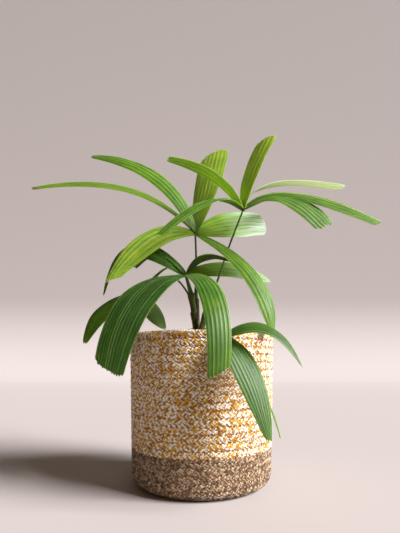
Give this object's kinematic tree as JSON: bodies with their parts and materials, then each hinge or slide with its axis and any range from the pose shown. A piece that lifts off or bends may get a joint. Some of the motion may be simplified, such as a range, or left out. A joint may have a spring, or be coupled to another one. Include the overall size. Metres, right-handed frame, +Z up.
{
  "type": "potted rhapis palm",
  "caption": "Young potted lady palm: fan fronds of ribbed leaflets on slim fibrous canes, in a round planter basket coiled from braided cord with a plain jute foot band.",
  "frame": {"origin": "centre of the basket's flat underside, where it stands", "axes": "+Z up, -Y towards the viewer of the picture, +X to the viewer's right"},
  "size_m": [0.4952, 0.3091, 0.5334],
  "materials": {
    "mottled_braid": "matt braided cotton cord, mustard, amber and white",
    "jute_braid": "matt coarse braided jute",
    "potting_mix": "matt crumbly potting mix",
    "cane_fibre": "dull leaf-sheath fibre over a green cane",
    "petiole_green": "satin green stalk",
    "leaf_bright": "satin young leaf, yellow-green, pleated",
    "leaf_dark": "satin grown leaf, deep green, pleated"
  },
  "bodies": {
    "root": {"basket_wall": "mottled_braid", "basket_foot": "jute_braid", "potting_mix": "potting_mix", "cane_left": "cane_fibre", "cane_centre": "cane_fibre", "cane_right": "cane_fibre", "frond_upper_right": "leaf_bright", "frond_upper_left": "leaf_bright", "frond_middle": "leaf_dark", "frond_low_right": "leaf_dark", "frond_low_left": "leaf_dark", "frond_rear": "leaf_dark", "petiole_upper_right": "petiole_green", "petiole_upper_left": "petiole_green", "petiole_middle": "petiole_green", "petiole_low_right": "petiole_green", "petiole_low_left": "petiole_green", "petiole_rear": "petiole_green"}
  },
  "joints": []
}
